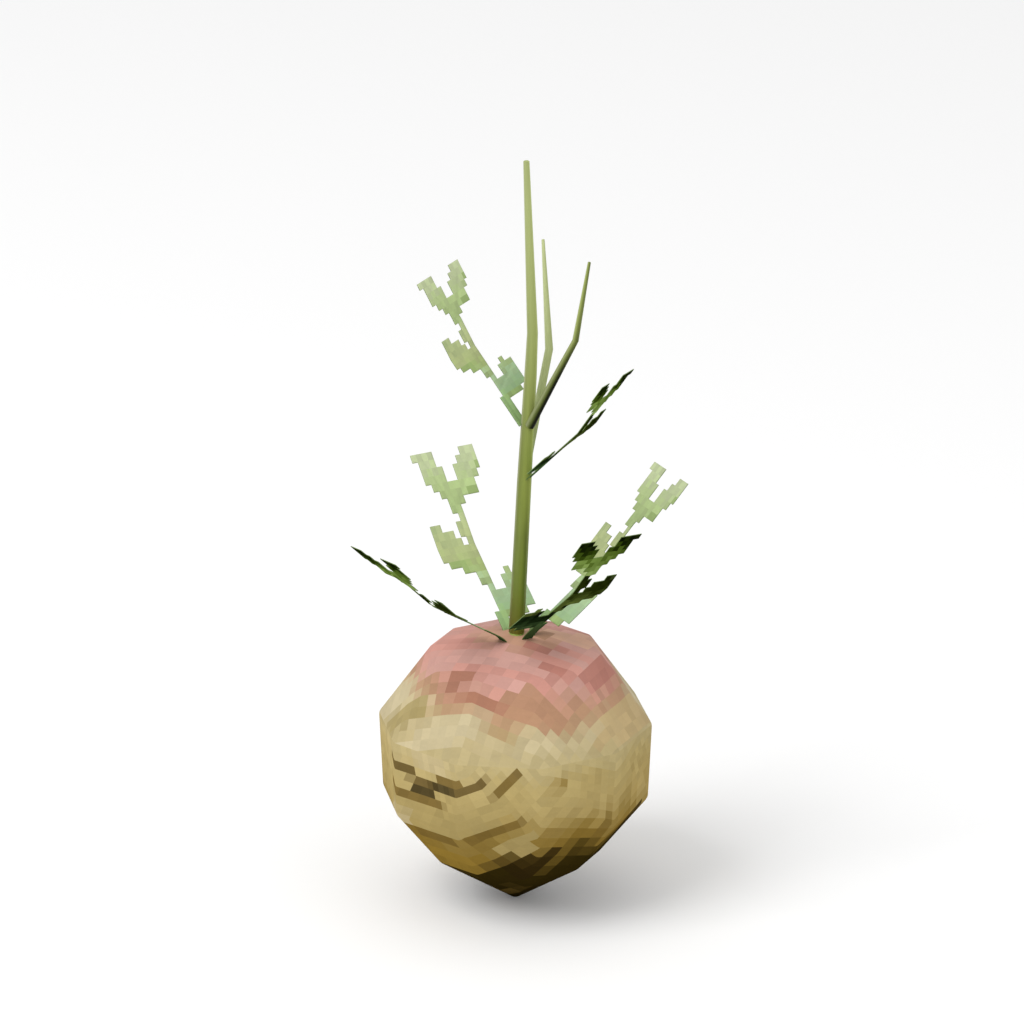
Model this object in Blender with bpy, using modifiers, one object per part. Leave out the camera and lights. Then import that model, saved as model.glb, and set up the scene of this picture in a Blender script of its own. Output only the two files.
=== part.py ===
"""A turnip pulled whole: a ten-sided root, a flower stalk with two side shoots, four leaves that grow
from the crown and two that grow from the stalk.

Metres, +Z up, seen from -Y. The origin is the middle of the flat spot that the root stands on.
"""

from math import cos, radians, sin
from typing import NamedTuple

import bmesh
import bpy
from mathutils import Quaternion, Vector

MM = 0.001

# Clearance that neighbouring pieces keep to each other
GAP = 0.3 * MM

# Root: corner radius and height of each ring above the flat spot
ROOT_SIDES = 10
ROOT_TURN = radians(28.7)
CROWN_HEIGHT = 93.2 * MM
CROWN_RADIUS = 27.8 * MM
CROWN_EDGE_HEIGHT = 87.2 * MM
SHOULDER_RADIUS = 45.1 * MM
SHOULDER_HEIGHT = 63.1 * MM
WAIST_RADIUS = 43.9 * MM
WAIST_HEIGHT = 37.3 * MM
TAPER_RADIUS = 28.0 * MM
TAPER_HEIGHT = 17.4 * MM
FLAT_RADIUS = 7.0 * MM
ROOT_EDGE_ROUNDING = 0.8 * MM

# Stems: how finely their round section is cut, 2 giving eight sides
STEM_ROUNDNESS = 2

# Leaf: a blade laid out in columns across and rows from the tip to the foot
COLUMNS = 13
FIRST_COLUMN = -1
LEFT_EDGE = -0.9
RIGHT_EDGE = 11.7
MIDRIB_COLUMN = 5
ROWS = 28
FOLD_ROW = 12
LEAF_THICKNESS = 0.75 * MM
CORNER_CLEARANCE = 0.06
CROWN_LEAF_ROWS = (1.447, 1.362)
STALK_LEAF_ROWS = (1.199, 1.007)

# Petiole foot: the rows that curve down, and how deep they sit in the crown
FOOT_ROW = 24
SOCKET_DEPTH = 2.0 * MM
PETIOLE_COLUMNS = (4, 6)
SOCKET_STEPS = 8

# Lobes of a leaf, as corners in columns and rows
LOBES = (
    ((0.3, 0), (1.2, 3.7), (4.2, 6.8), (4.2, 8), (6, 8), (7, 6), (10, 6), (10, 4.6), (12, 2.6),
     (12, 0), (9.3, 0), (6.2, 4), (5.2, 4), (3.8, 0)),
    ((-1, 8.43), (5, 11.85), (5, 19), (4, 16.4), (-1, 13.75)),
    ((9.2, 16), (9.6, 16), (11.6, 17.4), (12, 17.4), (12, 21.6), (10, 22.5), (10, 23), (4.2, 23),
     (5.3, 19), (8, 19), (8, 17.2)),
    ((4, 9), (5, 9), (5, 11), (4, 11)),
    ((5, 6), (6, 6), (6, 28), (4, 28), (4, 22), (5, 22)),
)

# Colour and roughness of each kind of piece
ROOT_ROSE = (0.58, 0.29, 0.25)
ROOT_ROUGHNESS = 0.6
STALK_GREEN = (0.30, 0.34, 0.12)
LEAF_GREEN = (0.36, 0.50, 0.26)
GREEN_ROUGHNESS = 0.5


class Leaf(NamedTuple):
    """One leaf: where its midline would meet the axis, the way it leans, and its column width."""

    name: str
    base: tuple
    azimuth: float
    blade_slope: float
    petiole_slope: float
    roll: float
    column: float
    foot_reach: float


# Lengths in millimetres and angles in degrees; the azimuth turns from +Y towards +X
CROWN_LEAVES = (
    Leaf("leaf_back_left", (1.1, -0.8, 86.7), -28.5, 48.3, 37.5, -1.0, 1.96, 6.5),
    Leaf("leaf_back_right", (0.2, -0.7, 88.9), 63.2, 47.9, 37.9, 1.0, 1.94, 5.6),
    Leaf("leaf_front_right", (2.2, -0.6, 90.3), 146.5, 50.0, 40.0, -3.2, 1.92, 2.3),
    Leaf("leaf_front_left", (-0.3, -1.2, 89.6), 228.7, 43.6, 32.5, -0.3, 1.89, 4.2),
)
STALK_LEAVES = (
    Leaf("stalk_leaf_left", (2.4, 0.0, 164.9), -62.8, 61.2, 51.3, -11.9, 1.85, 0.0),
    Leaf("stalk_leaf_right", (3.1, 0.0, 145.3), 119.4, 55.5, 45.4, -0.3, 1.79, 0.0),
)

# Stems: axis points with the radius there, in millimetres
STALK_AXIS = (
    ((0.2, 0.0, 89.2), 1.8),
    ((0.4, 0.0, 93.2), 2.55),
    ((2.9, 0.0, 145.4), 2.35),
    ((4.9, 0.0, 181.8), 2.0),
    ((5.5, 0.0, 196.0), 1.75),
    ((3.5, 0.0, 253.8), 1.0),
)
BACK_SHOOT_AXIS = (
    ((2.0, 0.0, 142.4), 1.4),
    ((10.9, 10.8, 186.8), 1.3),
    ((8.9, 13.5, 223.1), 0.5),
)
FRONT_SHOOT_AXIS = (
    ((4.6, -1.6, 165.0), 1.6),
    ((19.2, -10.8, 197.2), 1.05),
    ((23.5, -13.5, 224.4), 0.5),
)


def clear_scene():
    for obj in list(bpy.data.objects):
        bpy.data.objects.remove(obj, do_unlink=True)


def new_collection(name, hidden=False):
    collection = bpy.data.collections.new(name)
    collection.hide_render = hidden
    bpy.context.scene.collection.children.link(collection)
    return collection


def plant_material(name, colour, roughness):
    material = bpy.data.materials.new(name)
    material.use_nodes = True
    shader = material.node_tree.nodes["Principled BSDF"]
    shader.inputs["Base Color"].default_value = (*colour, 1)
    shader.inputs["Roughness"].default_value = roughness
    shader.inputs["Metallic"].default_value = 0
    return material


def new_object(name, mesh, collection, material=None):
    obj = bpy.data.objects.new(name, mesh)
    collection.objects.link(obj)
    if material:
        mesh.materials.append(material)
    if collection.hide_render:
        obj.hide_render = True
        obj.display_type = "WIRE"
    return obj


def mesh_from(bm, name):
    mesh = bpy.data.meshes.new(name)
    bm.to_mesh(mesh)
    bm.free()
    return mesh


def add_boolean(obj, operation, operand):
    """Cuts or joins with one object, or with every object of a collection."""
    modifier = obj.modifiers.new(operation.title(), "BOOLEAN")
    modifier.operation = operation
    modifier.solver = "EXACT"
    if isinstance(operand, bpy.types.Collection):
        modifier.operand_type = "COLLECTION"
        modifier.collection = operand
    else:
        modifier.object = operand


def baked(obj):
    """Replaces the object's mesh with what its modifiers make of it."""
    graph = bpy.context.evaluated_depsgraph_get()
    mesh = bpy.data.meshes.new_from_object(obj.evaluated_get(graph))
    obj.modifiers.clear()
    obj.data = mesh
    return obj


def stem(name, axis, collection, material=None, swell=0.0):
    """A tapering round stem along its axis points, closed at both ends."""
    curve = bpy.data.curves.new(name, "CURVE")
    curve.dimensions = "3D"
    curve.bevel_depth = MM
    curve.bevel_resolution = STEM_ROUNDNESS
    curve.use_fill_caps = True
    spline = curve.splines.new("POLY")
    spline.points.add(len(axis) - 1)
    for point, (place, radius) in zip(spline.points, axis):
        point.co = (*(Vector(place) * MM), 1)
        point.radius = radius + swell / MM
    guide = bpy.data.objects.new(name + "_axis", curve)
    bpy.context.scene.collection.objects.link(guide)
    bpy.context.view_layer.update()
    graph = bpy.context.evaluated_depsgraph_get()
    mesh = bpy.data.meshes.new_from_object(guide.evaluated_get(graph))
    mesh.name = name
    bpy.data.objects.remove(guide)
    bm = bmesh.new()
    bm.from_mesh(mesh)
    bmesh.ops.remove_doubles(bm, verts=bm.verts, dist=0.01 * MM)
    bmesh.ops.recalc_face_normals(bm, faces=bm.faces)
    bm.to_mesh(mesh)
    bm.free()
    mesh.shade_smooth()
    mesh.materials.clear()
    return new_object(name, mesh, collection, material)


def turnip_root(collection, sockets, material):
    """The turned root, with a socket in the crown for the stalk and each petiole."""
    profile = (
        (0, CROWN_HEIGHT),
        (CROWN_RADIUS, CROWN_EDGE_HEIGHT),
        (SHOULDER_RADIUS, SHOULDER_HEIGHT),
        (WAIST_RADIUS, WAIST_HEIGHT),
        (TAPER_RADIUS, TAPER_HEIGHT),
        (FLAT_RADIUS, 0),
        (0, 0),
    )
    bm = bmesh.new()
    corners = [bm.verts.new((radius, 0, height)) for radius, height in profile]
    for upper, lower in zip(corners, corners[1:]):
        bm.edges.new((upper, lower))
    root = new_object("turnip_root", mesh_from(bm, "turnip_root"), collection, material)
    root.rotation_euler.z = ROOT_TURN
    screw = root.modifiers.new("Turn", "SCREW")
    screw.steps = screw.render_steps = ROOT_SIDES
    screw.use_merge_vertices = True
    screw.merge_threshold = 0.1 * MM
    rounding = root.modifiers.new("Rounded edges", "BEVEL")
    rounding.width = ROOT_EDGE_ROUNDING
    rounding.segments = 2
    rounding.angle_limit = radians(8)
    add_boolean(root, "DIFFERENCE", sockets)
    return root


def flower_stalk(collection, material):
    """The main stem with its two side shoots grown into it."""
    shoots = new_collection("Side shoots", hidden=True)
    stem("back_shoot", BACK_SHOOT_AXIS, shoots)
    stem("front_shoot", FRONT_SHOOT_AXIS, shoots)
    stalk = stem("flower_stalk", STALK_AXIS, collection, material)
    add_boolean(stalk, "UNION", shoots)
    baked(stalk)
    for shoot in list(shoots.objects):
        bpy.data.objects.remove(shoot)
    bpy.data.collections.remove(shoots)
    return stalk


def inside(point, outline):
    """Whether a point lies inside a closed outline, by counting the edges to its right."""
    x, y = point
    crossings = 0
    for (ax, ay), (bx, by) in zip(outline, outline[1:] + outline[:1]):
        if (ay > y) != (by > y) and x < ax + (y - ay) * (bx - ax) / (by - ay):
            crossings += 1
    return crossings % 2 == 1


def crown_surface(radius):
    """Height of the crown's cone at a distance from its middle."""
    return CROWN_HEIGHT - (CROWN_HEIGHT - CROWN_EDGE_HEIGHT) * radius / CROWN_RADIUS


def midline(leaf, row, row_lengths):
    """Distance out from the leaf's base and height over it, for a row; the foot curves down."""
    column = leaf.column * MM
    blade_row, petiole_row = (column * length for length in row_lengths)
    low = radians(leaf.petiole_slope)
    high = radians(leaf.blade_slope)
    foot = leaf.foot_reach * MM
    if not foot or row <= FOOT_ROW:
        along = petiole_row * (ROWS - max(row, FOLD_ROW))
        above = blade_row * max(FOLD_ROW - row, 0)
        return along * cos(low) + above * cos(high), along * sin(low) + above * sin(high)
    base = Vector(leaf.base) * MM
    outward = Vector((sin(radians(leaf.azimuth)), cos(radians(leaf.azimuth))))
    foot_radius = (base.xy + outward * foot).length
    start = petiole_row * (ROWS - FOOT_ROW)
    bend = (
        Vector((start * cos(low), start * sin(low))),
        Vector((foot, foot * sin(low) / cos(low))),
        Vector((foot, crown_surface(foot_radius) - SOCKET_DEPTH - base.z)),
    )
    step = (row - FOOT_ROW) / (ROWS - FOOT_ROW)
    return bend[0] * (1 - step) ** 2 + bend[1] * 2 * step * (1 - step) + bend[2] * step**2


def leaf_point(leaf, column, row, row_lengths):
    """Where a corner of the laid-out blade lies in space."""
    azimuth = radians(leaf.azimuth)
    outward = Vector((sin(azimuth), cos(azimuth), 0))
    across = Vector((cos(azimuth), -sin(azimuth), 0))
    low = radians(leaf.petiole_slope)
    petiole_axis = outward * cos(low) + Vector((0, 0, sin(low)))
    reach, rise = midline(leaf, row, row_lengths)
    sideways = (column - MIDRIB_COLUMN) * leaf.column * MM
    offset = across * sideways + outward * reach + Vector((0, 0, rise))
    offset.rotate(Quaternion(petiole_axis, radians(leaf.roll)))
    return Vector(leaf.base) * MM + offset


def solidified(obj, thickness):
    shell = obj.modifiers.new("Thickness", "SOLIDIFY")
    shell.thickness = thickness
    shell.offset = 0
    shell.use_even_offset = True
    return obj


def part_corner(bm):
    """Draws two cells that meet only at one corner apart, so that the blade stays one sheet."""
    for vert in list(bm.verts):
        faces = list(vert.link_faces)
        if len(faces) == 2 and not set(faces[0].edges) & set(faces[1].edges):
            bmesh.utils.face_vert_separate(faces[0], vert)
            for face in faces:
                middle = face.calc_center_median()
                corner = min(face.verts, key=lambda v: (v.co - vert.co).length)
                corner.co += (middle - corner.co).normalized() * CORNER_CLEARANCE


def leaf_blade(leaf, row_lengths, collection, material):
    """One leaf: the cells of its lobes, midrib and petiole, folded once and given thickness."""
    bm = bmesh.new()
    bmesh.ops.create_grid(bm, x_segments=COLUMNS, y_segments=ROWS, size=0.5)
    for vert in bm.verts:
        vert.co = ((vert.co.x + 0.5) * COLUMNS + FIRST_COLUMN, (vert.co.y + 0.5) * ROWS, 0)
    outer = [
        face
        for face in bm.faces
        if not any(inside(face.calc_center_median().xy, outline) for outline in LOBES)
    ]
    bmesh.ops.delete(bm, geom=outer, context="FACES")
    part_corner(bm)
    bmesh.ops.triangulate(bm, faces=bm.faces)
    for vert in bm.verts:
        column = min(max(vert.co.x, LEFT_EDGE), RIGHT_EDGE)
        vert.co = leaf_point(leaf, column, vert.co.y, row_lengths)
    blade = new_object(leaf.name, mesh_from(bm, leaf.name), collection, material)
    return solidified(blade, LEAF_THICKNESS)


def stalk_socket(cutters):
    """The stalk's foot, grown by the clearance on every side."""
    foot, foot_radius = STALK_AXIS[0]
    below = Vector(foot) - Vector((0, 0, GAP / MM))
    return stem("stalk_socket", ((below, foot_radius), *STALK_AXIS[1:3]), cutters, swell=GAP)


def petiole_socket(leaf, cutters):
    """The petiole's foot, grown by the clearance on every side."""
    bm = bmesh.new()
    bmesh.ops.create_grid(bm, x_segments=1, y_segments=SOCKET_STEPS, size=0.5)
    swell = GAP / (leaf.column * MM)
    left, right = PETIOLE_COLUMNS
    for vert in bm.verts:
        column = left - swell if vert.co.x < 0 else right + swell
        row = FOOT_ROW + (vert.co.y + 0.5) * (ROWS - FOOT_ROW)
        vert.co = leaf_point(leaf, column, row, CROWN_LEAF_ROWS)
        if row == ROWS:
            vert.co.z -= GAP
    bmesh.ops.triangulate(bm, faces=bm.faces)
    name = leaf.name + "_socket"
    cutter = new_object(name, mesh_from(bm, name), cutters)
    return solidified(cutter, LEAF_THICKNESS + 2 * GAP)


def main():
    clear_scene()
    turnip = new_collection("Turnip")
    cutters = new_collection("Sockets", hidden=True)
    clearances = new_collection("Clearances", hidden=True)
    skin = plant_material("Turnip skin", ROOT_ROSE, ROOT_ROUGHNESS)
    stem_green = plant_material("Stalk", STALK_GREEN, GREEN_ROUGHNESS)
    leaf_green = plant_material("Leaf", LEAF_GREEN, GREEN_ROUGHNESS)

    stalk_socket(cutters)
    for leaf in CROWN_LEAVES:
        petiole_socket(leaf, cutters)
        leaf_blade(leaf, CROWN_LEAF_ROWS, turnip, leaf_green)
    turnip_root(turnip, cutters, skin)
    flower_stalk(turnip, stem_green)
    clearance = stem("stalk_clearance", STALK_AXIS, clearances, swell=GAP)
    for leaf in STALK_LEAVES:
        blade = leaf_blade(leaf, STALK_LEAF_ROWS, turnip, leaf_green)
        add_boolean(blade, "DIFFERENCE", clearance)


main()
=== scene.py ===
"""A turnip pulled whole, dressed for rendering: the root, its flower stalk and six lobed leaves.

Every piece takes the place of its solid in the loaded frame. Lengths are in millimetres where nothing
else is said, and turned into metres as a piece is made. The turnip stands on Z = 0, and the camera
sees it from -Y.
"""

from collections import namedtuple
from math import atan2, cos, floor, hypot, radians, sin, tau

import bmesh
import bpy
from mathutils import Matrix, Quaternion, Vector


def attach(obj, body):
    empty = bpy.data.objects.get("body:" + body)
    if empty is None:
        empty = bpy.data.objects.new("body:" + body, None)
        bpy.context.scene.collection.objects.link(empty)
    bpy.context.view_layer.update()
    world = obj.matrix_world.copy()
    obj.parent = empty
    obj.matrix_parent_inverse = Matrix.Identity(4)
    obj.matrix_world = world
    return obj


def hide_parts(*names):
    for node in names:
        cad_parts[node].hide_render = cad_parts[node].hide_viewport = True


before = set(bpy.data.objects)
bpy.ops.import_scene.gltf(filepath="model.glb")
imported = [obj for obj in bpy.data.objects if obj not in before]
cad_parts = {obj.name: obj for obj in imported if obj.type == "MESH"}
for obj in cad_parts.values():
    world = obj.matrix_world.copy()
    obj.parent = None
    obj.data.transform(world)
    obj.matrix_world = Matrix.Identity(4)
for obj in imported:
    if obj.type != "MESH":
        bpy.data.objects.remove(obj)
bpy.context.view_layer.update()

MM = 0.001
WELD = 0.01 * MM

# Names of the two maps that skins follow, and of the values that a stem's corners carry
CELL_MAP = "Cells"
AROUND_MAP = "Around"
TURN_LAYER = "turn"
ALONG_LAYER = "along"

# Camera: where it stands, its tilt from straight down, its angle of view and its reach in metres
CAMERA_PLACE = (-1.06, -2218.0, 962.3)
CAMERA_TILT = radians(69.54)
CAMERA_ANGLE = radians(8.0)
CAMERA_REACH = 50.0

# Studio, in metres: the floor, the light all round, and the lamps that face one point, each with its
# place, its width and its power in watts
FLOOR_HALF_WIDTH = 8.0
FLOOR_GREY = 0.97
FLOOR_ROUGHNESS = 0.9
LIGHT_ALL_ROUND = 0.75
LAMP_AIM = Vector((0.0, 0.0, 0.1))
LAMPS = (
    ("Key", (-1.3, -1.0, 1.9), 1.4, 31.0),
    ("Fill", (1.6, -1.2, 0.9), 1.6, 5.0),
)

# Root: radius and height of each ring of corners, from the crown down. Its edges are rounded where
# they are bent by more than an angle.
ROOT_SIDES = 10
ROOT_TURN = radians(28.7)
ROOT_EDGE_ROUNDING = 0.8
ROUNDING_STEPS = 2
BENT_ANGLE = radians(8)
ROOT_RINGS = (
    (0.0, 93.2),
    (27.8, 87.2),
    (45.1, 63.1),
    (43.9, 37.3),
    (28.0, 17.4),
    (1.5, 0.0),
    (0.0, 0.0),
)
SHOULDER_RING = 2
TIP_RING = 5
CROWN_FINISH, BASE_FINISH = range(2)

# The skin is laid out flat as two discs of square cells, the crown's and the base's, which meet at the
# shoulder. A disc has its middle in columns and rows, the turn in degrees from one side of the root to
# the next, and for each of its rings the distance from the middle in cells and the angle in degrees of
# the marked side.
Disc = namedtuple("Disc", "middle turn rings")
MARKED_SIDE = 6
HALF_CELL = (0.5, 0.5, 0.0)
CROWN_DISC = Disc((0.8, -4.56), -36, {0: (0.0, 0.0), 1: (6.3, 93.2), 2: (14.2, 89.7)})
BASE_DISC = Disc((-5.63, 17.9), 36, {
    2: (18.77, -71.6), 3: (9.87, -69.2), 4: (5.04, -68.3), 5: (0.45, -68.0), 6: (0.0, 0.0),
})

# Half of the way round, as a share of a turn
HALF_TURN = 0.5

# Stems: points along the axis with the radius there. A rib's depth and the chamfer of a tip are shares
# of the radius.
STEM_SIDES = 24
STEM_RIBS = 8
RIB_DEPTH = 0.06
TIP_CHAMFER = 0.15
STALK_AXIS = (
    ((0.2, 0.0, 89.2), 1.8),
    ((0.4, 0.0, 93.2), 2.55),
    ((2.9, 0.0, 145.4), 2.35),
    ((4.9, 0.0, 181.8), 2.0),
    ((5.5, 0.0, 196.0), 1.75),
    ((3.5, 0.0, 253.8), 1.0),
)
BACK_SHOOT_AXIS = (
    ((2.0, 0.0, 142.4), 1.4),
    ((10.9, 10.8, 186.8), 1.3),
    ((8.9, 13.5, 223.1), 0.5),
)
FRONT_SHOOT_AXIS = (
    ((4.6, -1.6, 165.0), 1.6),
    ((19.2, -10.8, 197.2), 1.05),
    ((23.5, -13.5, 224.4), 0.5),
)

# Leaf: a blade laid out in columns across and rows from the tip to the foot. Its outermost columns are
# drawn in to the two edges, it is folded at one row, and a petiole from the crown bends down at another.
COLUMNS = 13
FIRST_COLUMN = -1
LEFT_EDGE = -0.9
RIGHT_EDGE = 11.7
MIDRIB_COLUMN = 5
ROWS = 28
FOLD_ROW = 12
FOOT_ROW = 24

# Thickness, depth of a foot in the crown and height of a vein, in millimetres
LEAF_THICKNESS = 0.25
SOCKET_DEPTH = 2.0
VEIN_HEIGHT = 0.22

# Half a vein's width, how far two cells draw back from a corner where they meet, and the step for
# slopes, in cells; then the cuts that divide a cell each way
VEIN_REACH = 0.45
CORNER_CLEARANCE = 0.06
SLOPE_STEP = 0.1
CELL_CUTS = 3

# Length of a row of the blade and of the petiole, in widths of a column
CROWN_LEAF_ROWS = (1.447, 1.362)
STALK_LEAF_ROWS = (1.199, 1.007)

# Lobes of a leaf, as corners in columns and rows
LOBES = (
    ((0.3, 0), (1.2, 3.7), (4.2, 6.8), (4.2, 8), (6, 8), (7, 6), (10, 6), (10, 4.6), (12, 2.6),
     (12, 0), (9.3, 0), (6.2, 4), (5.2, 4), (3.8, 0)),
    ((-1, 8.43), (5, 11.85), (5, 19), (4, 16.4), (-1, 13.75)),
    ((9.2, 16), (9.6, 16), (11.6, 17.4), (12, 17.4), (12, 21.6), (10, 22.5), (10, 23), (4.2, 23),
     (5.3, 19), (8, 19), (8, 17.2)),
    ((4, 9), (5, 9), (5, 11), (4, 11)),
    ((5, 6), (6, 6), (6, 28), (4, 28), (4, 22), (5, 22)),
)

# Veins of a leaf, each from where it leaves the midrib to its end in a lobe
VEINS = (
    ((5, 28), (5, 7)),
    ((5, 8), (2.2, 1)),
    ((5, 8), (10.5, 1.5)),
    ((5, 17), (0, 11)),
    ((5, 21), (10.5, 18.5)),
)

# Lengths in millimetres and angles in degrees. The azimuth turns from +Y towards +X, column is the
# width of a column, and foot_reach is how far out from the base a petiole goes down into the crown.
Leaf = namedtuple("Leaf", "name base azimuth blade_slope petiole_slope roll column foot_reach rows")
LEAVES = (
    Leaf("leaf_back_left", (1.1, -0.8, 86.7), -28.5, 48.3, 37.5, -1.0, 1.96, 6.5, CROWN_LEAF_ROWS),
    Leaf("leaf_back_right", (0.2, -0.7, 88.9), 63.2, 47.9, 37.9, 1.0, 1.94, 5.6, CROWN_LEAF_ROWS),
    Leaf("leaf_front_right", (2.2, -0.6, 90.3), 146.5, 50.0, 40.0, -3.2, 1.92, 2.3, CROWN_LEAF_ROWS),
    Leaf("leaf_front_left", (-0.3, -1.2, 89.6), 228.7, 43.6, 32.5, -0.3, 1.89, 4.2, CROWN_LEAF_ROWS),
    Leaf("stalk_leaf_left", (2.4, 0.0, 164.9), -62.8, 61.2, 51.3, -11.9, 1.85, 0.0, STALK_LEAF_ROWS),
    Leaf("stalk_leaf_right", (3.1, 0.0, 145.3), 119.4, 55.5, 45.4, -0.3, 1.79, 0.0, STALK_LEAF_ROWS),
)


def tint(red, green, blue):
    """A colour as a screen shows it, from 0 to 255, in the linear values that a shader takes."""
    return (*(((value / 255 + 0.055) / 1.055) ** 2.4 for value in (red, green, blue)), 1.0)


class Wire:
    """An output socket of a material: arithmetic on it adds Math nodes, node() adds any other."""

    def __init__(self, tree, socket=None):
        self.tree = tree
        self.socket = socket

    def node(self, kind, settings=None, inputs=None, output=0):
        """Adds a node, with its settings and then its inputs' values or links; gives one output."""
        made = self.tree.nodes.new("ShaderNode" + kind)
        for name, value in (settings or {}).items():
            if name == "stops":
                set_stops(made.color_ramp, value)
            else:
                setattr(made, name, value)
        for name, value in (inputs or {}).items():
            if isinstance(value, Wire):
                self.tree.links.new(value.socket, made.inputs[name])
            else:
                made.inputs[name].default_value = value
        return Wire(self.tree, made.outputs[output])

    def math(self, operation, *values):
        return self.node("Math", {"operation": operation}, dict(enumerate(values)))

    def __add__(self, other):
        return self.math("ADD", self, other)

    __radd__ = __add__

    def __sub__(self, other):
        return self.math("SUBTRACT", self, other)

    def __rsub__(self, other):
        return self.math("SUBTRACT", other, self)

    def __mul__(self, other):
        return self.math("MULTIPLY", self, other)

    __rmul__ = __mul__

    def between(self, start, end):
        """Turns smoothly from 0 at the start value to 1 at the end value, which may be the lower one."""
        ends = {"Value": self, "From Min": start, "From Max": end}
        return self.node("MapRange", {"interpolation_type": "SMOOTHSTEP"}, ends)

    def strayed(self, chance, spread):
        """This value, moved by a chance value of 0 to 1 up or down by half the spread at most."""
        return self + (chance - 0.5) * spread

    def ramp(self, *stops):
        """The colour that a ramp of (position, colour) stops gives to the value."""
        return self.node("ValToRGB", {"stops": stops}, {"Fac": self})

    def mix(self, first, second):
        """The second colour over the first, by this value."""
        return self.node("Mix", {"data_type": "RGBA"}, {0: self, 6: first, 7: second}, output=2)

    def shaded(self, shade):
        """This colour, darkened or brightened by a value."""
        return self.node("VectorMath", {"operation": "SCALE"}, {0: self, "Scale": shade})

    def stretched(self, scale):
        """This vector, scaled by a different number each way."""
        return self.node("Mapping", {}, {"Vector": self, "Scale": scale})

    def noise(self, scale, detail, roughness=0.5):
        """Soft noise from 0 to 1 at the place that this vector gives."""
        return self.node("TexNoise", {}, {
            "Vector": self, "Scale": scale, "Detail": detail, "Roughness": roughness,
        })

    def bump(self, strength, depth):
        """A bump from this height, with its depth in millimetres."""
        inputs = {"Strength": strength, "Distance": depth * MM, "Height": self}
        return self.node("Bump", {}, inputs)


def set_stops(ramp, stops):
    for _ in stops[2:]:
        ramp.elements.new(1.0)
    for element, (position, colour) in zip(ramp.elements, stops):
        element.position = position
        element.color = colour


def new_finish(name, constants):
    """A material, its shader with the values that are the same all over, and a first wire."""
    material = bpy.data.materials.new(name)
    material.use_nodes = True
    shader = material.node_tree.nodes["Principled BSDF"]
    for socket, value in constants.items():
        shader.inputs[socket].default_value = value
    return material, shader, Wire(material.node_tree)


def connect(shader, wires):
    for name, wire in wires.items():
        wire.tree.links.new(wire.socket, shader.inputs[name])


def grey(value):
    return (value, value, value, 1.0)


# Colours of the skin
ROSE = tint(220, 160, 146)
PALE_ROSE = tint(219, 169, 157)
BRUISE = tint(194, 130, 115)
STAIN = tint(174, 120, 96)
TAN = tint(206, 180, 130)
TAN_ROSE = tint(190, 146, 114)
CROWN_TAN = tint(206, 160, 132)
# Painted light: a pale tan laid on the crown where the leaves' shadow falls, right of the stalk
PAINTED_LIGHT_TAN = tint(234, 188, 158)
SHOULDER = tint(194, 177, 128)
CREAM = tint(198, 181, 138)
PALE_CREAM = tint(210, 195, 156)
KHAKI = tint(180, 160, 104)
OLIVE = tint(172, 154, 98)
OCHRE = tint(156, 127, 54)
UMBER = tint(150, 126, 68)
BROWN = tint(121, 97, 46)
SCAR = tint(96, 76, 36)
PIT = tint(48, 36, 14)

# Noise scales per cell: of the runs of cells in a row, each way, and of the patches
RUN_SCALE = (0.16, 0.7, 1.0)
PATCH_SCALE = 0.24

# Share of its colour that a skin keeps under the studio's light, and what chance and relief add to it
SKIN_SHADE = 0.66
SKIN_SPECK_SHADE = 0.13
SKIN_GRAIN_SHADE = 0.1
SKIN_RING_SHADE = 0.08

# Relief of the skin: scale per metre, detail and roughness of its grain, the scales each way and the
# detail of its rings, the grain's height against theirs, and the strength and depth of both
SKIN_GRAIN = (900.0, 4.0, 0.6)
SKIN_RINGS = (90.0, 90.0, 700.0)
RING_DETAIL = 3.0
GRAIN_HEIGHT = 0.4
SKIN_BUMP = (0.3, 0.25)

# Gloss of skin and stems, as a specular level, the least roughness of each surface, and what the
# relief adds to it
CROWN_GLOSS = 0.1
BASE_GLOSS = 0.0
STEM_GLOSS = 0.1
SKIN_ROUGHNESS = 0.55
STEM_ROUGHNESS = 0.45
LEAF_ROUGHNESS = 0.5
ROUGHNESS_SPREAD = 0.2

# Ovals of blemishes and of painted light: how far chance frays an edge, where the edge starts and ends,
# and how strong they are
OVAL_FRAYING = 0.3
OVAL_EDGE = (1.35, 0.95)
OVAL_STRENGTH = 0.85

# Crown: where each colour starts and where it is full, as values of the runs, of the patches or of the
# reach from the middle of the rose cap or of the disc, and the share of it that shows at most
PALE_ROSE_RUNS = (0.42, 0.65)
BRUISED_RUNS = (0.45, 0.25)
BRUISED_SHARE = 0.6
PALE_CREAM_PATCHES = (0.35, 0.6)
KHAKI_RUNS = (0.5, 0.3)
KHAKI_SHARE = 0.7
CAP_STRAYING = 0.3
TAN_ROSE_REACH = (0.7, 1.0)
CREAM_REACH = (0.92, 1.18)
CROWN_RIM_REACH = (0.82, 0.95)
RIM_SHARE = 0.85

# Base: the same, with the reach from the middle of the dark tip or of the disc
PATCH_STRAYING = 0.3
RUN_STRAYING = 0.2
SCARRED_RUNS = (0.4, 0.3)
SCARRED_REACH = (0.85, 0.5)
SCARRED_SHARE = 0.5
BASE_RIM_REACH = (0.86, 0.95)

# The rose cap of the crown: its middle and half its width each way, in cells
ROSE_CAP = (1.5, -4.4), (9.6, 8.8)

# The dark tip of the base in the same terms, and the colours from it, at 0, to the shoulder, at 1
SHADED_DARK_TIP = (-4.6, 18.0), (20.0, 20.0)
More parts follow.
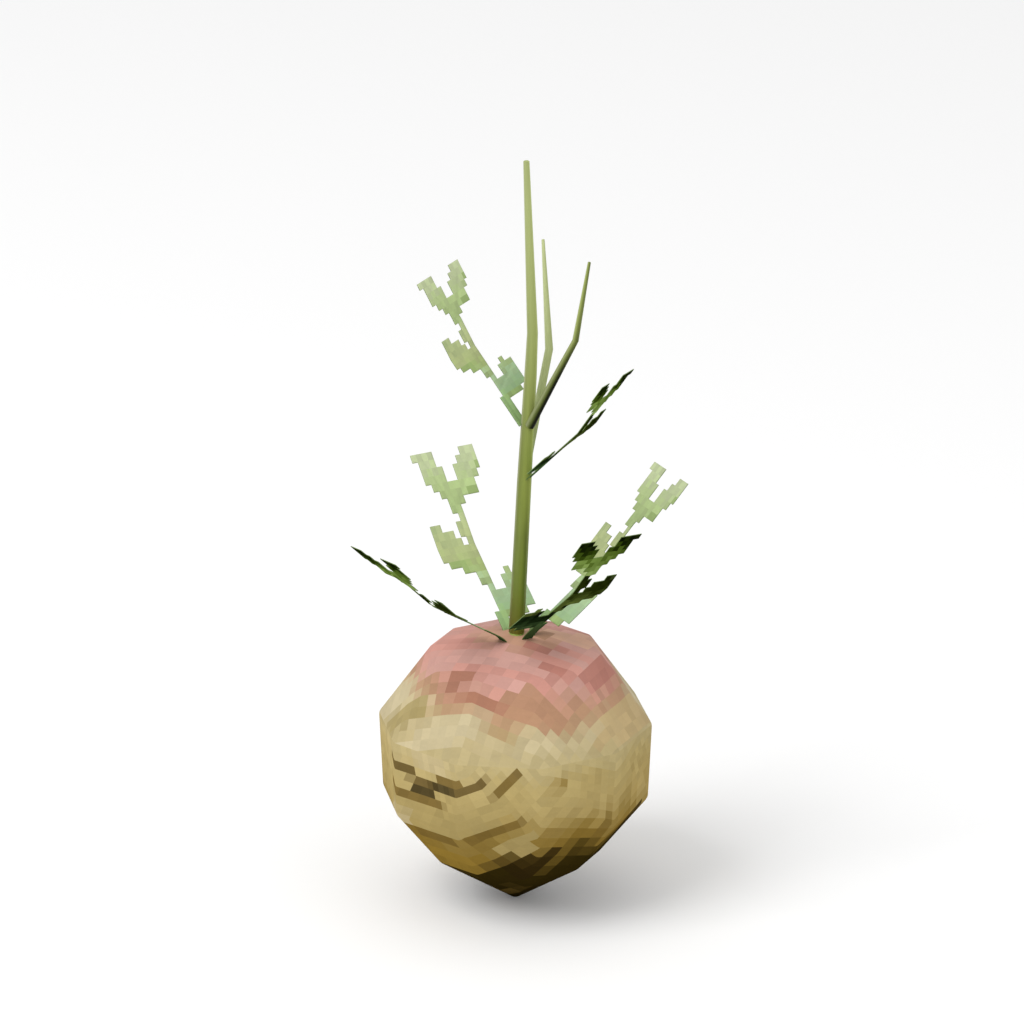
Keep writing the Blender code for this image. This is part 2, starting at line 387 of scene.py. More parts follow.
# The darkening towards the tip is partly the skin's own brown and partly painted shade of the underside
SHADED_TIP_TO_SHOULDER = (
    (0.25, tint(50, 40, 12)),
    (0.31, tint(92, 74, 29)),
    (0.38, tint(136, 110, 48)),
    (0.48, tint(160, 136, 74)),
    (0.58, tint(184, 162, 104)),
    (0.75, tint(190, 170, 114)),
    (0.95, tint(194, 174, 122)),
)

# Blemishes of the skin, listed one by one: a colour, a middle and half a width each way, in cells
# The crown's list holds real marks and also painted light, which lifts the shadow that the stalk and
# leaves cast on the crown
CROWN_MARKS_AND_PAINTED_LIGHT = (
    # Partly the crown's own tan round the stalk foot and partly painted light that lifts the shade there
    (CROWN_TAN, (0.8, -5.3), (3.2, 2.8)),
    # Painted light, lifting the leaves' shadow on the crown right of the stalk
    (PALE_ROSE, (5.6, -6.0), (1.8, 1.4)),
    # Painted light, lifting the leaves' shadow on the crown right of the stalk
    (PAINTED_LIGHT_TAN, (4.4, -7.4), (2.0, 1.3)),
    # A spot that is partly the crown's own tan and partly painted light, lightened where the leaves'
    # shadow falls
    (TAN_ROSE, (2.8, -6.0), (0.9, 0.7)),
    (PALE_ROSE, (-4.0, 0.0), (2.2, 0.9)),
    (PALE_ROSE, (-1.2, -1.2), (2.0, 0.8)),
    (PALE_ROSE, (2.6, -1.3), (1.7, 0.8)),
    (BRUISE, (3.1, -3.3), (1.0, 0.7)),
    (BRUISE, (8.2, -5.0), (1.2, 3.0)),
    (BRUISE, (5.4, -1.4), (1.3, 0.8)),
    (STAIN, (1.5, 3.5), (2.2, 0.7)),
    (STAIN, (-1.0, 1.7), (1.3, 0.9)),
    (TAN_ROSE, (6.0, 2.5), (2.6, 1.9)),
    (PALE_CREAM, (-9.5, 0.3), (3.2, 1.6)),
    (PALE_CREAM, (-3.5, 7.2), (4.5, 0.9)),
    (OLIVE, (-7.0, 4.0), (3.0, 1.5)),
    (TAN, (12.5, -4.5), (1.8, 5.0)),
)
BASE_BLEMISHES = (
    (KHAKI, (-5.0, 7.3), (8.5, 1.6)),
    (KHAKI, (0.8, 11.8), (2.2, 0.9)),
    (OCHRE, (-6.5, 11.7), (4.8, 1.2)),
    (PIT, (-0.2, 14.3), (2.4, 0.9)),
    (PIT, (0.8, 22.3), (2.3, 1.3)),
    (BROWN, (-5.0, 9.5), (2.4, 0.7)),
    (BROWN, (0.4, 9.5), (2.0, 0.7)),
    (UMBER, (3.6, 13.0), (0.8, 0.9)),
    (UMBER, (8.4, 10.2), (0.9, 0.8)),
    (CREAM, (-4.5, 0.8), (3.5, 1.3)),
    (CREAM, (-8.5, 8.3), (1.8, 0.9)),
    (BROWN, (-8.0, 5.5), (3.8, 0.7)),
    (SCAR, (-10.0, 2.5), (1.8, 0.7)),
    (SCAR, (-6.5, 3.7), (2.0, 0.7)),
    (PIT, (-3.3, 3.5), (2.0, 0.7)),
    (PIT, (-6.5, 4.6), (1.3, 0.7)),
    (BROWN, (-1.8, 2.5), (1.9, 0.7)),
    (SCAR, (0.6, 3.6), (1.9, 0.7)),
    (BROWN, (4.5, 5.5), (2.6, 0.7)),
)


def cell_under(start):
    """The middle of the cell that a point of a laid-out surface is in."""
    place = start.node("UVMap", {"uv_map": CELL_MAP})
    corner = start.node("VectorMath", {"operation": "FLOOR"}, {0: place})
    return start.node("VectorMath", {"operation": "ADD"}, {0: corner, 1: HALF_CELL})


def oval_reach(cell, middle, halves):
    """0 in the middle of an oval of cells, 1 on its outline and more outside."""
    inputs = {"Vector": cell, "Location": (*middle, 0.0), "Scale": (*halves, 1.0)}
    inner = cell.node("Mapping", {"vector_type": "TEXTURE"}, inputs)
    return inner.node("VectorMath", {"operation": "LENGTH"}, {0: inner}, output="Value")


def disc_reach(cell, disc):
    """0 in the middle of a disc of skin and 1 at the shoulder."""
    half, _ = disc.rings[SHOULDER_RING]
    return oval_reach(cell, disc.middle, (half, half))


def chances(cell):
    """Chance values of a cell: its own, that of the patch round it and that of its run in a row."""
    speck = cell.node("TexWhiteNoise", {"noise_dimensions": "2D"}, {"Vector": cell})
    patch = cell.noise(PATCH_SCALE, 1.0)
    runs = cell.stretched(RUN_SCALE).noise(1.0, 1.0)
    return speck, patch, runs


def with_ovals(colour, cell, speck, ovals):
    """Paints ovals over the colour, frayed by the chance value of each cell."""
    for oval_colour, middle, halves in ovals:
        reach = oval_reach(cell, middle, halves) + speck * OVAL_FRAYING
        colour = (reach.between(*OVAL_EDGE) * OVAL_STRENGTH).mix(colour, oval_colour)
    return colour


def finish_skin(shader, start, colour, speck):
    """Shades the colour of a skin, and gives it fine grain and shallow rings."""
    spot = start.node("TexCoord", output="Object")
    grain = spot.noise(*SKIN_GRAIN)
    rings = spot.stretched(SKIN_RINGS).noise(1.0, RING_DETAIL)
    shade = (
        speck * SKIN_SPECK_SHADE + grain * SKIN_GRAIN_SHADE + rings * SKIN_RING_SHADE + SKIN_SHADE
    )
    connect(shader, {
        "Base Color": colour.shaded(shade),
        "Roughness": grain * ROUGHNESS_SPREAD + SKIN_ROUGHNESS,
        "Normal": (grain * GRAIN_HEIGHT + rings).bump(*SKIN_BUMP),
    })


def crown_skin():
    """Rose over the crown and cream below it, in square cells."""
    material, shader, start = new_finish("Turnip crown skin", {"Specular IOR Level": CROWN_GLOSS})
    cell = cell_under(start)
    speck, patch, runs = chances(cell)
    rose = runs.between(*PALE_ROSE_RUNS).mix(ROSE, PALE_ROSE)
    rose = (runs.between(*BRUISED_RUNS) * BRUISED_SHARE).mix(rose, BRUISE)
    body = patch.between(*PALE_CREAM_PATCHES).mix(CREAM, PALE_CREAM)
    body = (runs.between(*KHAKI_RUNS) * KHAKI_SHARE).mix(body, KHAKI)
    rim = disc_reach(cell, CROWN_DISC).between(*CROWN_RIM_REACH)
    body = (rim * RIM_SHARE).mix(body, SHOULDER)
    reach = oval_reach(cell, *ROSE_CAP).strayed(patch, CAP_STRAYING).strayed(runs, CAP_STRAYING)
    colour = reach.between(*TAN_ROSE_REACH).mix(rose, TAN_ROSE)
    colour = reach.between(*CREAM_REACH).mix(colour, body)
    # The crown's ovals include painted light over the shadow of the stalk and leaves
    colour = with_ovals(colour, cell, speck, CROWN_MARKS_AND_PAINTED_LIGHT)
    finish_skin(shader, start, colour, speck)
    return material


def base_skin():
    """Khaki skin that darkens to brown at the tip, partly as painted shade, with runs of scars round it.
    """
    material, shader, start = new_finish("Turnip base skin", {"Specular IOR Level": BASE_GLOSS})
    cell = cell_under(start)
    speck, patch, runs = chances(cell)
    reach = oval_reach(cell, *SHADED_DARK_TIP).strayed(patch, PATCH_STRAYING).strayed(runs, RUN_STRAYING)
    colour = reach.ramp(*SHADED_TIP_TO_SHOULDER)
    scarred = runs.between(*SCARRED_RUNS) * reach.between(*SCARRED_REACH)
    colour = (scarred * SCARRED_SHARE).mix(colour, BROWN)
    rim = disc_reach(cell, BASE_DISC).between(*BASE_RIM_REACH)
    colour = (rim * RIM_SHARE).mix(colour, SHOULDER)
    colour = with_ovals(colour, cell, speck, BASE_BLEMISHES)
    finish_skin(shader, start, colour, speck)
    return material


# Share of its colour that a stem keeps under the studio's light, and what pale parts and streaks add to
# it; at the foot of the stalk, painted light lifts the shade that the leaves cast there
STEM_SHADE = 0.68
PALE_PART_SHADE = 0.15
STREAK_SHADE = 0.25
FOOT_PAINTED_LIGHT = 1.4

# Streaks along a stem: scales per metre each way, detail, and the strength and depth of their relief
STREAKS = (1400.0, 1400.0, 60.0)
STREAK_DETAIL = 3.0
STREAK_BUMP = (0.3, 0.15)

# Heights in metres between which a stem takes on its upper colours, and the green and painted light of
# its foot
UPPER_HEIGHTS = (0.11, 0.155)
FOOT_HEIGHTS = (0.128, 0.098)
FOOT_GREEN_SHARE = 0.4

# Colours round a stem at shares of a turn, from the side that faces +X through the back to the front
PALE_STEM = tint(190, 198, 148)
OLIVE_STEM = tint(152, 164, 88)
FOOT_GREEN = tint(106, 128, 52)
# The stalk's lower and upper bands are partly its own streaks and partly painted light and shade, with
# paler and darker bands where light and shade fall round it
STALK_BANDS = (
    (0.0, tint(104, 118, 50)),
    (0.15, tint(138, 150, 84)),
    (0.38, tint(128, 140, 74)),
    (0.5, tint(158, 166, 122)),
    (0.58, tint(118, 130, 70)),
    (0.7, tint(132, 146, 76)),
    (0.78, tint(122, 136, 60)),
    (0.86, tint(84, 98, 36)),
    (0.93, tint(102, 114, 48)),
    (1.0, tint(104, 118, 50)),
)
UPPER_STALK_BANDS = (
    (0.0, tint(150, 164, 88)),
    (0.15, tint(138, 150, 84)),
    (0.38, tint(128, 140, 74)),
    (0.5, tint(160, 166, 124)),
    (0.57, tint(150, 155, 112)),
    (0.62, tint(117, 127, 56)),
    (0.69, tint(122, 134, 52)),
    (0.76, tint(136, 148, 63)),
    (0.85, tint(136, 148, 62)),
    (0.89, tint(160, 173, 78)),
    (0.95, tint(184, 199, 116)),
    (1.0, tint(158, 172, 96)),
)
# The back shoot's pale bands are partly its own pale green and partly painted light, lifting the shadow
# that the main stalk casts on it
BACK_SHOOT_BANDS = (
    (0.0, tint(158, 170, 106)),
    (0.5, tint(192, 200, 150)),
    (0.8, tint(194, 204, 146)),
    (1.0, tint(158, 170, 106)),
)
# Painted shade: the front shoot's near-black bands stand for the shade on its lower right side; the
# other bands are its own olive and pale green
FRONT_SHOOT_SHADED_BANDS = (
    (0.0, tint(88, 100, 46)),
    (0.1, tint(108, 120, 60)),
    (0.3, tint(128, 140, 76)),
    (0.6, tint(168, 176, 126)),
    (0.69, tint(114, 126, 62)),
    (0.765, tint(42, 50, 18)),
    (0.82, tint(10, 12, 1)),
    (0.92, tint(12, 14, 2)),
    (1.0, tint(88, 100, 46)),
)

# Each stem pales by a share between two heights in metres
Stem = namedtuple("Stem", "name axis bands upper_bands pale_colour paling paling_heights")
STEMS = (
    Stem("Flower stalk", STALK_AXIS, STALK_BANDS, UPPER_STALK_BANDS,
         PALE_STEM, 0.5, (0.12, 0.25)),
    Stem("Back shoot", BACK_SHOOT_AXIS, BACK_SHOOT_BANDS, BACK_SHOOT_BANDS,
         PALE_STEM, 0.2, (0.12, 0.25)),
    # On the front shoot the paling also fades its painted shade upwards
    Stem("Front shoot", FRONT_SHOOT_AXIS, FRONT_SHOOT_SHADED_BANDS, FRONT_SHOOT_SHADED_BANDS,
         OLIVE_STEM, 0.5, (0.18, 0.205)),
)

# Share of its colour that a leaf keeps under the studio's light, and what chance and grain add to it
LEAF_SHADE = 0.59
LEAF_SPECK_SHADE = 0.2
LEAF_RUN_SHADE = 0.2
LEAF_GRAIN_SHADE = 0.12

# Grain of a leaf: scale per metre and detail, and the strength and depth of its relief
LEAF_GRAIN = (1500.0, 3.0)
LEAF_BUMP = (0.25, 0.12)

# How many rows the colour of a patch of a leaf strays over, and how many the ramp of colours spans
ROW_STRAYING = 2.0
RAMP_ROWS = ROWS + 1

# Colours along a leaf, by the row of its cells: each lobe pales or darkens towards the foot
LEAF_TOP_COLOURS = (
    (0, tint(204, 216, 170)),
    (4, tint(184, 204, 142)),
    (7, tint(176, 198, 136)),
    (8, tint(188, 202, 148)),
    (12, tint(186, 196, 140)),
    (15, tint(172, 190, 122)),
    (18, tint(178, 204, 158)),
    (20, tint(166, 196, 152)),
    (23, tint(156, 188, 128)),
    (28, tint(160, 190, 128)),
)
# Painted shade: the underside's own green is darkened, to near black in parts of each lobe, as the shade
# of its turned-away side
SHADED_LEAF_UNDERSIDE_COLOURS = (
    (0, tint(14, 22, 2)),
    (2, tint(50, 68, 12)),
    (4, tint(94, 118, 44)),
    (7, tint(142, 168, 92)),
    (8, tint(20, 26, 2)),
    (12, tint(38, 48, 8)),
    (16, tint(92, 108, 48)),
    (17, tint(12, 20, 6)),
    (20, tint(28, 46, 20)),
    (23, tint(64, 90, 52)),
    (28, tint(62, 78, 42)),
)
LEAF_RIM_COLOURS = (
    (0, tint(116, 138, 78)),
    (28, tint(96, 122, 66)),
)

# Deeper green where a lobe ends, in the same terms as the blemishes of the skin
EDGE_GREEN = tint(160, 184, 116)
LEAF_TOP_BLEMISHES = (
    (EDGE_GREEN, (11.4, 3.6), (0.8, 1.8)),
    (EDGE_GREEN, (9.6, 5.5), (1.3, 0.7)),
    (EDGE_GREEN, (6.4, 7.5), (0.8, 0.7)),
    (EDGE_GREEN, (1.5, 15.0), (2.4, 1.0)),
    (EDGE_GREEN, (8.5, 22.5), (3.4, 0.7)),
)

# Finishes of a leaf: name, colours, gloss, how many rows the colour of a cell strays over, and blemishes
LEAF_FINISHES = (
    ("Leaf top", LEAF_TOP_COLOURS, 0.15, 2.5, LEAF_TOP_BLEMISHES),
    ("Leaf underside", SHADED_LEAF_UNDERSIDE_COLOURS, 0.0, 2.2, ()),
    ("Leaf rim", LEAF_RIM_COLOURS, 0.1, 1.0, ()),
)
LEAF_UNDERSIDE = 1
LEAF_RIM = 2


def stem_skin(stem):
    """Bands of colour, partly painted light and shade, that run up a stem, with fine streaks."""
    material, shader, start = new_finish(stem.name, {"Specular IOR Level": STEM_GLOSS})
    place = start.node("UVMap", {"uv_map": AROUND_MAP})
    around = place.node("SeparateXYZ", {}, {0: place})
    spot = start.node("TexCoord", output="Object")
    height = spot.node("SeparateXYZ", {}, {0: spot}, output=2)
    streaks = spot.stretched(STREAKS).noise(1.0, STREAK_DETAIL)
    foot = height.between(*FOOT_HEIGHTS)
    pale = height.between(*stem.paling_heights)
    lower, upper = around.ramp(*stem.bands), around.ramp(*stem.upper_bands)
    colour = height.between(*UPPER_HEIGHTS).mix(lower, upper)
    colour = (foot * FOOT_GREEN_SHARE).mix(colour, FOOT_GREEN)
    colour = (pale * stem.paling).mix(colour, stem.pale_colour)
    # Painted light: the foot of the stalk is brightened to lift the shade that the leaves cast there
    shade = pale * PALE_PART_SHADE + streaks * STREAK_SHADE + foot * FOOT_PAINTED_LIGHT + STEM_SHADE
    connect(shader, {
        "Base Color": colour.shaded(shade),
        "Roughness": streaks * ROUGHNESS_SPREAD + STEM_ROUGHNESS,
        "Normal": streaks.bump(*STREAK_BUMP),
    })
    return material


def leaf_skin(name, colours, gloss, straying, ovals):
    """Leaf surface in square cells, each with the colour of a row that strays by chance from its own."""
    material, shader, start = new_finish(name, {"Specular IOR Level": gloss})
    cell = cell_under(start)
    row = cell.node("SeparateXYZ", {}, {0: cell}, output=1)
    speck, patch, runs = chances(cell)
    stops = [((row_number + 0.5) / RAMP_ROWS, colour) for row_number, colour in colours]
    strayed = row.strayed(patch, ROW_STRAYING).strayed(speck, straying)
    colour = (strayed * (1 / RAMP_ROWS)).ramp(*stops)
    colour = with_ovals(colour, cell, speck, ovals)
    grain = start.node("TexCoord", output="Object").noise(*LEAF_GRAIN)
    shade = (
        speck * LEAF_SPECK_SHADE + runs * LEAF_RUN_SHADE + grain * LEAF_GRAIN_SHADE + LEAF_SHADE
    )
    connect(shader, {
        "Base Color": colour.shaded(shade),
        "Roughness": grain * ROUGHNESS_SPREAD + LEAF_ROUGHNESS,
        "Normal": grain.bump(*LEAF_BUMP),
    })
    return material


def new_piece(name, shape, finishes):
    """Puts a finished shape into the scene in place of the solid of the same name."""
    mesh = bpy.data.meshes.new(name + "_shape")
    shape.to_mesh(mesh)
    shape.free()
    for finish in finishes:
        mesh.materials.append(finish)
    mesh.shade_smooth()
    piece = bpy.data.objects.new(name + "_piece", mesh)
    bpy.context.scene.collection.objects.link(piece)
    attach(piece, "root")
    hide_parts(name)
    return piece


def ring_of(point):
    """Which ring of root corners a point of the root belongs to."""
    distances = [
        hypot(hypot(point.x, point.y) - radius * MM, point.z - height * MM)
        for radius, height in ROOT_RINGS
    ]
    return distances.index(min(distances))


def side_of(point, middle):
    """Which side of the root a corner of a face belongs to; it may be one past the last."""
    share = tau / ROOT_SIDES
    side = floor((atan2(middle.y, middle.x) - ROOT_TURN) % tau / share)
    apart = (atan2(point.y, point.x) - ROOT_TURN) / share - side
    return side + round((apart + ROOT_SIDES / 2) % ROOT_SIDES - ROOT_SIDES / 2)


def laid_corner(disc, ring, side):
    """Where a corner of the root lies on its disc of skin."""
    reach, angle = disc.rings[ring]
    angle = radians(angle + disc.turn * (side - MARKED_SIDE))
    return disc.middle[0] + reach * cos(angle), disc.middle[1] + reach * sin(angle)


def lay_out_skin(shape):
    """Splits each side of the root as its skin is creased, and gives it its cells and finish."""
    for face in [face for face in shape.faces if len(face.verts) == 4]:
        middle = face.calc_center_median()
        corners = {(ring_of(vert.co), side_of(vert.co, middle)): vert for vert in face.verts}
        start, end = min(corners), max(corners)
        bmesh.utils.face_split(face, corners[start], corners[end])
    cells = shape.loops.layers.uv.new(CELL_MAP)
    for face in shape.faces:
        middle = face.calc_center_median()
        rings = [ring_of(vert.co) for vert in face.verts]
        upper = min(rings) < SHOULDER_RING
        disc = CROWN_DISC if upper else BASE_DISC
        face.material_index = CROWN_FINISH if upper else BASE_FINISH
        for loop, ring in zip(face.loops, rings):
            side = side_of(loop.vert.co, middle)
            loop[cells].uv = laid_corner(disc, ring, side)


def rounded_normals(mesh):
    """Lets the light run softly over the flat sides, as over the skin of a round root."""
    slopes = []
    for (radius, height), (next_radius, next_height) in zip(ROOT_RINGS, ROOT_RINGS[1:]):
        slopes.append(Vector((height - next_height, next_radius - radius)).normalized())
    rings = [Vector((0, 1))]
    rings += [(above + below).normalized() for above, below in zip(slopes, slopes[1:])]
    rings += [Vector((0, -1))]
    normals = []
    for vert in mesh.vertices:
        out, up = rings[ring_of(vert.co)]
        direction = Vector((vert.co.x, vert.co.y, 0)).normalized() * out + Vector((0, 0, up))
        normals.append(direction.normalized())
    mesh.normals_split_custom_set_from_vertices(normals)


def turnip_root():
    """The swollen root: its rings of corners spun into sides, creased as its skin is, and rounded."""
    shape = bmesh.new()
    corners = [shape.verts.new((radius * MM, 0, height * MM)) for radius, height in ROOT_RINGS]
    edges = [shape.edges.new(pair) for pair in zip(corners, corners[1:])]
    bmesh.ops.spin(shape, geom=corners + edges, cent=(0, 0, 0), axis=(0, 0, 1), dvec=(0, 0, 0),
                   angle=tau, steps=ROOT_SIDES, use_merge=True)
    bmesh.ops.remove_doubles(shape, verts=shape.verts, dist=WELD)
    turn = Quaternion((0, 0, 1), ROOT_TURN).to_matrix()
    bmesh.ops.rotate(shape, verts=shape.verts, cent=(0, 0, 0), matrix=turn)
    bmesh.ops.recalc_face_normals(shape, faces=shape.faces)
    lay_out_skin(shape)
    bent = [
        edge
        for edge in shape.edges
        if edge.calc_face_angle(0) > BENT_ANGLE
        and max(ring_of(vert.co) for vert in edge.verts) < TIP_RING
    ]
    bmesh.ops.bevel(shape, geom=bent, offset=ROOT_EDGE_ROUNDING * MM, offset_type="OFFSET",
                    segments=ROUNDING_STEPS, profile=0.5, affect="EDGES", material=-1)
    piece = new_piece("turnip_root", shape, [crown_skin(), base_skin()])
    rounded_normals(piece.data)


def add_stem(shape, axis):
    """Draws a ribbed ring along the axis points; both ends are closed, and the tip is chamfered."""
    layers = shape.verts.layers.float
    turns = layers.get(TURN_LAYER) or layers.new(TURN_LAYER)
    along = layers.get(ALONG_LAYER) or layers.new(ALONG_LAYER)
    ring = bmesh.ops.create_circle(shape, cap_ends=True, segments=STEM_SIDES, radius=1.0)["verts"]
    for vert in ring:
        vert[turns] = atan2(vert.co.y, vert.co.x)
    cap = ring[0].link_faces[0]
    points = [(Vector(place) * MM, radius * MM) for place, radius in axis]
    last, tip_radius = points[-1]
    heading = (last - points[-2][0]).normalized()
    points[-1] = (last - heading * tip_radius * TIP_CHAMFER, tip_radius)
    points.append((last, tip_radius * (1 - TIP_CHAMFER)))
    length = 0.0
    for number, (place, radius) in enumerate(points):
        before = points[max(number - 1, 0)][0]
        after = points[min(number + 1, len(points) - 1)][0]
        heading = (after - before).normalized()
        side = (Vector((1, 0, 0)) - heading * heading.x).normalized()
        back = heading.cross(side)
        if number:
            made = bmesh.ops.extrude_face_region(shape, geom=[cap])["geom"]
            cap = next(item for item in made if isinstance(item, bmesh.types.BMFace))
            length += (place - before).length
        for vert in cap.verts:
            angle = vert[turns]
            rib = 1 - RIB_DEPTH * (1 - cos(angle * STEM_RIBS)) / 2
            vert.co = place + (side * cos(angle) + back * sin(angle)) * radius * rib
            vert[along] = length / MM


def paint_around(shape):
    """Maps a stem by the share of a turn round it and by the millimetres along it."""
    around = shape.loops.layers.uv.new(AROUND_MAP)
    turns = shape.verts.layers.float[TURN_LAYER]
    along = shape.verts.layers.float[ALONG_LAYER]
    for face in shape.faces:
        shares = [vert[turns] / tau % 1 for vert in face.verts]
        wraps = max(shares) - min(shares) > HALF_TURN
        for loop, share in zip(face.loops, shares):
            if wraps and share < HALF_TURN:
                share += 1
            loop[around].uv = (share, loop.vert[along])


def flower_stalk():
    """The main stem and its two side shoots, each with a finish of its own."""
    shape = bmesh.new()
    for number, stem in enumerate(STEMS):
        made_before = set(shape.faces)
        add_stem(shape, stem.axis)
        for face in set(shape.faces) - made_before:
            face.material_index = number
    bmesh.ops.recalc_face_normals(shape, faces=shape.faces)
    paint_around(shape)
    new_piece("flower_stalk", shape, [stem_skin(stem) for stem in STEMS])


def inside(point, outline):
    """Whether a point lies inside a closed outline, by counting the edges to its right."""
    x, y = point
    crossings = 0
    for (ax, ay), (bx, by) in zip(outline, outline[1:] + outline[:1]):
        if (ay > y) != (by > y) and x < ax + (y - ay) * (bx - ax) / (by - ay):
            crossings += 1
    return crossings % 2 == 1


def crown_surface(radius):
    """Height of the crown's cone at a distance from its middle."""
    (_, top), (edge_radius, edge_height) = ROOT_RINGS[:2]
    return top - (top - edge_height) * radius / edge_radius


def midline(leaf, row):
    """Distance out from the leaf's base and height over it, for a row; the foot curves down."""
    blade_row, petiole_row = (leaf.column * length for length in leaf.rows)
    low = radians(leaf.petiole_slope)
    high = radians(leaf.blade_slope)
    foot = leaf.foot_reach
    if not foot or row <= FOOT_ROW:
        along = petiole_row * (ROWS - max(row, FOLD_ROW))
        above = blade_row * max(FOLD_ROW - row, 0)
        return Vector((along * cos(low) + above * cos(high), along * sin(low) + above * sin(high)))
    base = Vector(leaf.base)
    outward = Vector((sin(radians(leaf.azimuth)), cos(radians(leaf.azimuth))))
    foot_radius = (base.xy + outward * foot).length
    start = petiole_row * (ROWS - FOOT_ROW)
    bend = (
        Vector((start * cos(low), start * sin(low))),
        Vector((foot, foot * sin(low) / cos(low))),
        Vector((foot, crown_surface(foot_radius) - SOCKET_DEPTH - base.z)),
    )
    step = (row - FOOT_ROW) / (ROWS - FOOT_ROW)
    return bend[0] * (1 - step) ** 2 + bend[1] * 2 * step * (1 - step) + bend[2] * step**2


def leaf_point(leaf, column, row):
    """Where a point of the laid-out blade lies in space, in millimetres."""
    azimuth = radians(leaf.azimuth)
    outward = Vector((sin(azimuth), cos(azimuth), 0))
    across = Vector((cos(azimuth), -sin(azimuth), 0))
    low = radians(leaf.petiole_slope)
    petiole_axis = outward * cos(low) + Vector((0, 0, sin(low)))
    reach, rise = midline(leaf, row)
    sideways = (column - MIDRIB_COLUMN) * leaf.column
    offset = across * sideways + outward * reach + Vector((0, 0, rise))
    offset.rotate(Quaternion(petiole_axis, radians(leaf.roll)))
    return Vector(leaf.base) + offset


def part_corner(shape):
    """Draws two cells that meet only at one corner apart, so that the blade stays one sheet."""
    for vert in list(shape.verts):
        faces = list(vert.link_faces)
        if len(faces) == 2 and not set(faces[0].edges) & set(faces[1].edges):
            bmesh.utils.face_vert_separate(faces[0], vert)
            for face in faces:
                middle = face.calc_center_median()
                corner = min(face.verts, key=lambda v: (v.co - vert.co).length)
                corner.co += (middle - corner.co).normalized() * CORNER_CLEARANCE


def vein_height(column, row):
    """How far the nearest vein stands out, from 0 to 1."""
    point = Vector((column, row))
    nearest = VEIN_REACH
    for start, end in VEINS:
        start, end = Vector(start), Vector(end)
        line = end - start
        share = min(max((point - start).dot(line) / line.length_squared, 0), 1)
        nearest = min(nearest, (start + line * share - point).length)
    return 1 - nearest / VEIN_REACH


def under_leaf(leaf, column, row):
    """The direction straight out from the underside of the blade, where its veins stand out."""
    nearer_tip, nearer_foot = (
        leaf_point(leaf, column, row + step) for step in (-SLOPE_STEP, SLOPE_STEP)
    )
    left, right = (leaf_point(leaf, column + step, row) for step in (-SLOPE_STEP, SLOPE_STEP))
    return (nearer_tip - nearer_foot).cross(right - left).normalized()


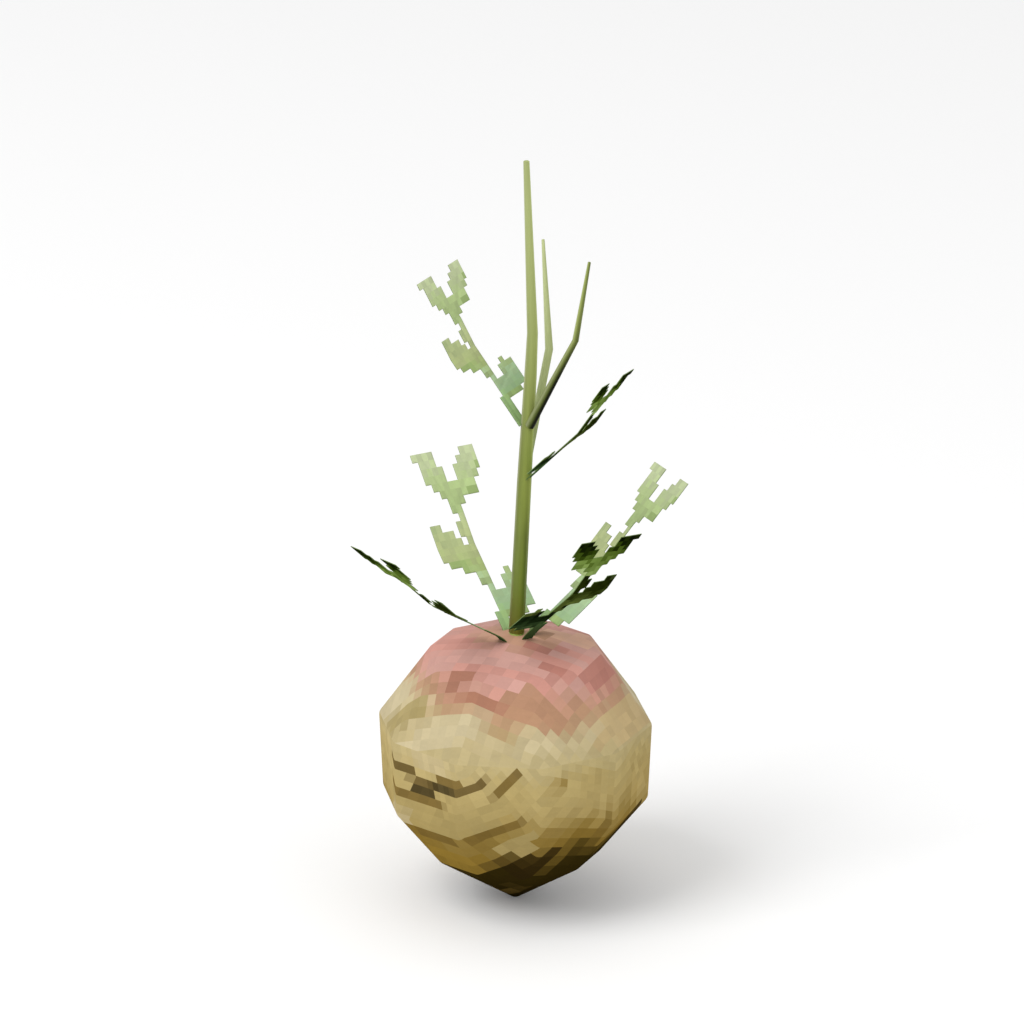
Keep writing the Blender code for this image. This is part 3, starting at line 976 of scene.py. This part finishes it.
def leaf_piece(leaf, finishes):
    """The cells of the lobes, midrib and petiole, folded once, with veins and a thickness."""
    shape = bmesh.new()
    # The grid is a unit square about the origin, which is then spread out to columns and rows
    bmesh.ops.create_grid(shape, x_segments=COLUMNS, y_segments=ROWS, size=0.5)
    for vert in shape.verts:
        vert.co = ((vert.co.x + 0.5) * COLUMNS + FIRST_COLUMN, (vert.co.y + 0.5) * ROWS, 0)
    outer = [
        face
        for face in shape.faces
        if not any(inside(face.calc_center_median().xy, outline) for outline in LOBES)
    ]
    bmesh.ops.delete(shape, geom=outer, context="FACES")
    part_corner(shape)
    bmesh.ops.subdivide_edges(shape, edges=shape.edges, cuts=CELL_CUTS, use_grid_fill=True)
    cells = shape.loops.layers.uv.new(CELL_MAP)
    for face in shape.faces:
        for loop in face.loops:
            loop[cells].uv = loop.vert.co.xy
    for vert in shape.verts:
        column = min(max(vert.co.x, LEFT_EDGE), RIGHT_EDGE)
        row = vert.co.y
        vein = under_leaf(leaf, column, row) * vein_height(column, row) * VEIN_HEIGHT
        vert.co = (leaf_point(leaf, column, row) + vein) * MM
    bmesh.ops.recalc_face_normals(shape, faces=shape.faces)
    upward = sum((face.normal * face.calc_area() for face in shape.faces), Vector())
    if upward.z < 0:
        bmesh.ops.reverse_faces(shape, faces=shape.faces)
    piece = new_piece(leaf.name, shape, finishes)
    shell = piece.modifiers.new("Thickness", "SOLIDIFY")
    shell.thickness = LEAF_THICKNESS * MM
    shell.offset = 0
    shell.use_even_offset = True
    shell.material_offset = LEAF_UNDERSIDE
    shell.material_offset_rim = LEAF_RIM


def studio():
    """The camera, a plain pale floor and soft light from the upper left."""
    camera = bpy.data.cameras.new("Camera")
    camera.angle = CAMERA_ANGLE
    camera.clip_end = CAMERA_REACH
    eye = bpy.data.objects.new("Camera", camera)
    eye.location = Vector(CAMERA_PLACE) * MM
    eye.rotation_euler = (CAMERA_TILT, 0, 0)
    bpy.context.scene.collection.objects.link(eye)
    bpy.context.scene.camera = eye

    plane = bmesh.new()
    bmesh.ops.create_grid(plane, x_segments=1, y_segments=1, size=FLOOR_HALF_WIDTH)
    ground = bpy.data.meshes.new("floor")
    plane.to_mesh(ground)
    plane.free()
    floor_piece = bpy.data.objects.new("floor", ground)
    bpy.context.scene.collection.objects.link(floor_piece)
    constants = {"Base Color": grey(FLOOR_GREY), "Roughness": FLOOR_ROUGHNESS}
    floor_finish, _, _ = new_finish("Pale floor", constants)
    ground.materials.append(floor_finish)

    world = bpy.data.worlds.new("Studio")
    bpy.context.scene.world = world
    world.use_nodes = True
    backdrop = world.node_tree.nodes["Background"]
    backdrop.inputs["Color"].default_value = grey(1.0)
    backdrop.inputs["Strength"].default_value = LIGHT_ALL_ROUND
    for name, place, width, power in LAMPS:
        lamp = bpy.data.lights.new(name, "AREA")
        lamp.size = width
        lamp.energy = power
        light = bpy.data.objects.new(name, lamp)
        light.location = place
        facing = LAMP_AIM - light.location
        light.rotation_euler = facing.to_track_quat("-Z", "Y").to_euler()
        bpy.context.scene.collection.objects.link(light)
    bpy.context.scene.view_settings.view_transform = "Standard"


def leaves():
    """The six leaves, which share their finishes."""
    finishes = [leaf_skin(*look) for look in LEAF_FINISHES]
    for leaf in LEAVES:
        leaf_piece(leaf, finishes)


studio()
turnip_root()
flower_stalk()
leaves()

bpy.context.view_layer.update()
